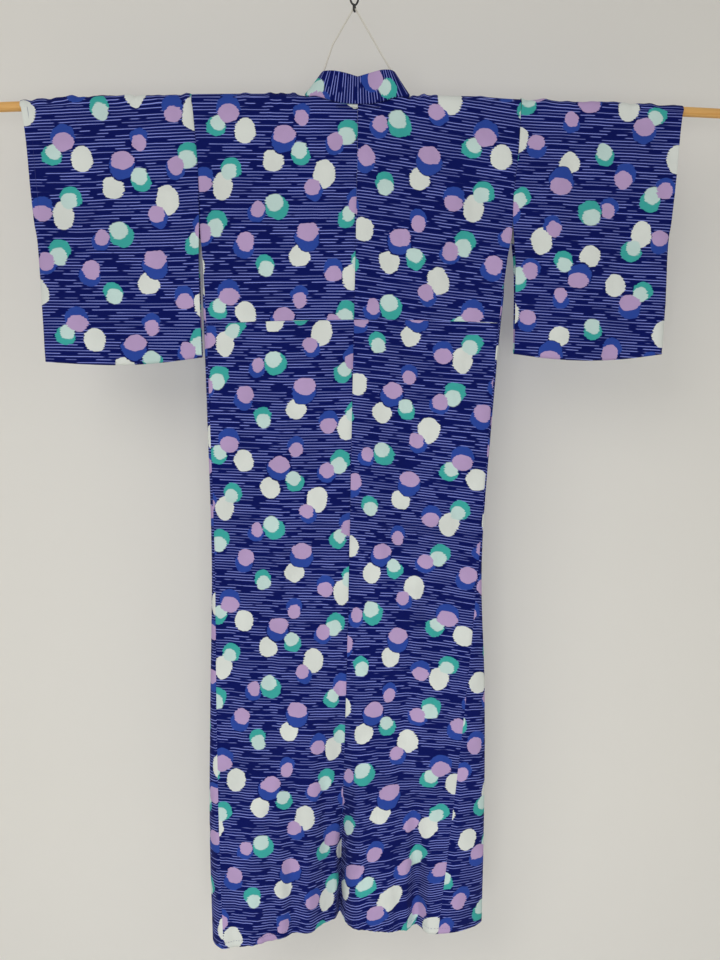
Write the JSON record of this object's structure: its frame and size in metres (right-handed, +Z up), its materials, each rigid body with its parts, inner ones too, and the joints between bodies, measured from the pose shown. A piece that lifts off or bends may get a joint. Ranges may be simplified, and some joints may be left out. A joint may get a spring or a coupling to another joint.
{
  "type": "yukata robe on a hanging pole",
  "caption": "Unlined cotton yukata robe hung flat by its sleeves on a straight wooden pole, which hangs by a cord from a small hook.",
  "frame": {"origin": "under the top of the hook's upper eye, where a nail or rail carries it", "axes": "+Z up, +X to the wearer's right along the pole, -Y towards the side of the garment's back"},
  "size_m": [1.5008, 0.1387, 1.9157],
  "materials": {
    "printed_cotton": "plain weave, matt, navy ground with pale broken lines and soft-edged dots",
    "pale_wood": "smooth, light varnish",
    "white_cord": "twisted cotton",
    "black_metal": "black, satin"
  },
  "bodies": {
    "root": {"body_left": "printed_cotton", "body_right": "printed_cotton", "sleeve_left": "printed_cotton", "sleeve_right": "printed_cotton", "okumi_left": "printed_cotton", "okumi_right": "printed_cotton", "collar": "printed_cotton", "over_collar": "printed_cotton", "pole": "pale_wood", "hanging_cord": "white_cord", "hook": "black_metal"}
  },
  "joints": []
}
